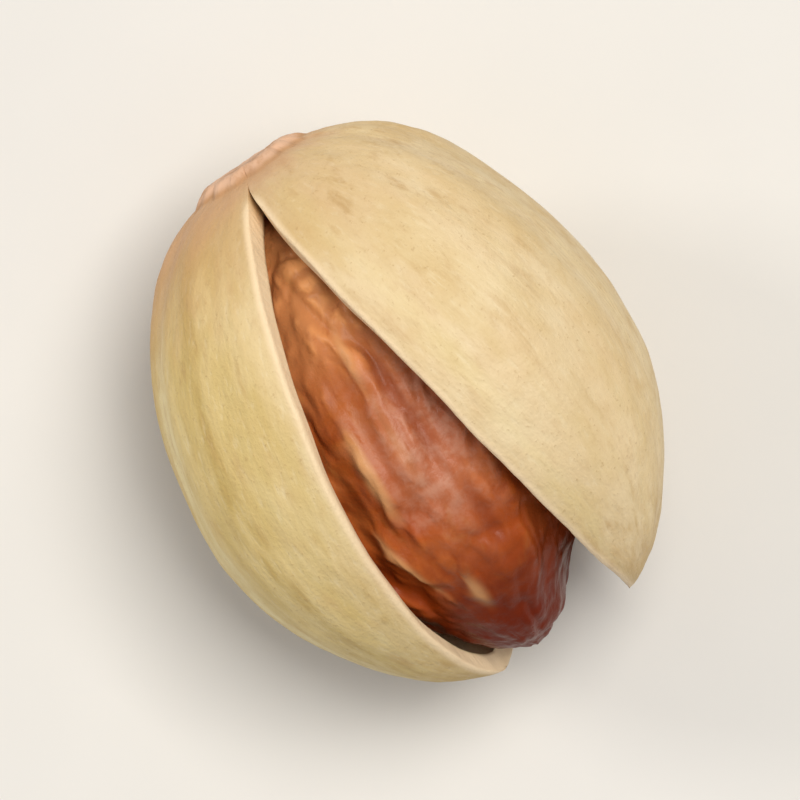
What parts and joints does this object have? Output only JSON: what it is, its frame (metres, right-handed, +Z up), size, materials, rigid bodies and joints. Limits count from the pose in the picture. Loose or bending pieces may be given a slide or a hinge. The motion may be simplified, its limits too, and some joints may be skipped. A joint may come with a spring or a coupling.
{
  "type": "pistachio in shell",
  "caption": "Roasted pistachio nut in its hard beige shell, split open along the seam from stem scar to tip, with the loose red-brown kernel showing inside. Lies on a small flat spot.",
  "frame": {"origin": "on the surface the nut lies on, under the middle of its bounding box, within the flat spot it rests on", "axes": "+X along the nut from the stem scar to the open tip, +Y across the valves towards the higher one, +Z up, out of the split"},
  "size_m": [0.0178, 0.015, 0.0131],
  "materials": {
    "shell": "dry matt nutshell, cream-beige with faint lengthwise tan streaks and a paler broken edge",
    "kernel_skin": "thin wrinkled seed skin, orange-brown to dark red-brown, slightly waxy"
  },
  "bodies": {
    "root": {"shell": "shell", "kernel": "kernel_skin"}
  },
  "joints": []
}
